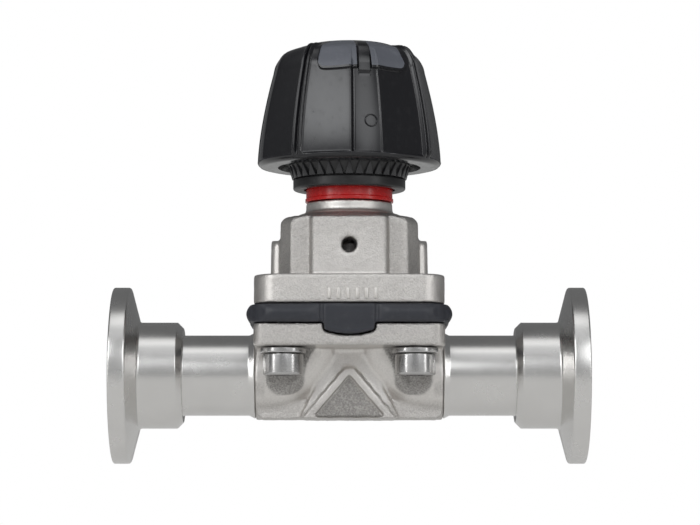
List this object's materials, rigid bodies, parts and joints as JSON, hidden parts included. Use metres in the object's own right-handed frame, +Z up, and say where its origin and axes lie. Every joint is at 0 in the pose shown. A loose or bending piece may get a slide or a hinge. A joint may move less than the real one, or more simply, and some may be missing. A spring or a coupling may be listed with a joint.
{
  "type": "diaphragm valve",
  "caption": "Manual hygienic diaphragm valve with clamp ends, a cast bonnet, a rising black handwheel and a red position ring.",
  "frame": {"origin": "where the pipe axis crosses the stem axis, in the middle of the body's passage", "axes": "+X along the pipe from inlet to outlet, +Z up the stem to the handwheel, -Y to the side with the diaphragm's tab"},
  "size_m": [0.135, 0.0564, 0.1206],
  "materials": {
    "cast_steel": "blasted investment casting, satin",
    "satin_steel": "satin turned",
    "bright_steel": "bright drawn",
    "bronze": "machined",
    "diaphragm_rubber": "moulded, matt",
    "red_plastic": "moulded, semi-gloss",
    "black_plastic": "moulded, glossy"
  },
  "bodies": {
    "root": {"body_casting": "cast_steel", "bonnet": "cast_steel", "inlet_ferrule": "satin_steel", "outlet_ferrule": "satin_steel", "diaphragm_rim": "diaphragm_rubber", "diaphragm_membrane": "diaphragm_rubber", "spindle_bush": "bronze", "stem_o_ring": "diaphragm_rubber", "indicator_ring": "red_plastic", "bonnet_screw_1": "bright_steel", "bonnet_screw_2": "bright_steel", "bonnet_screw_3": "bright_steel", "bonnet_screw_4": "bright_steel", "bonnet_washer_1": "bright_steel", "bonnet_washer_2": "bright_steel", "bonnet_washer_3": "bright_steel", "bonnet_washer_4": "bright_steel"},
    "compressor": {"compressor": "bright_steel", "diaphragm_stud": "bright_steel", "compressor_pin": "bright_steel", "thrust_washer": "bronze"},
    "handwheel": {"handwheel": "black_plastic", "spindle": "bright_steel", "stop_ring": "black_plastic", "toothed_crown": "black_plastic", "hub_insert": "bright_steel", "hub_washer": "bright_steel", "hub_screw": "bright_steel", "top_cap": "black_plastic"}
  },
  "joints": [
    {"name": "compressor_lift", "type": "slide", "parent": "root", "child": "compressor", "axis": [0, 0, -1], "range_m": [0, 0.0062], "deforming": ["diaphragm_membrane"]},
    {"name": "handwheel_turn", "type": "hinge", "parent": "compressor", "child": "handwheel", "pos_m": [0, 0, 0.06], "axis": [0, 0, -1], "range_deg": [0, 900]}
  ],
  "couplings": [
    {"joint": "handwheel_turn", "follows": "compressor_lift", "rad_per_m": 2533.5}
  ]
}
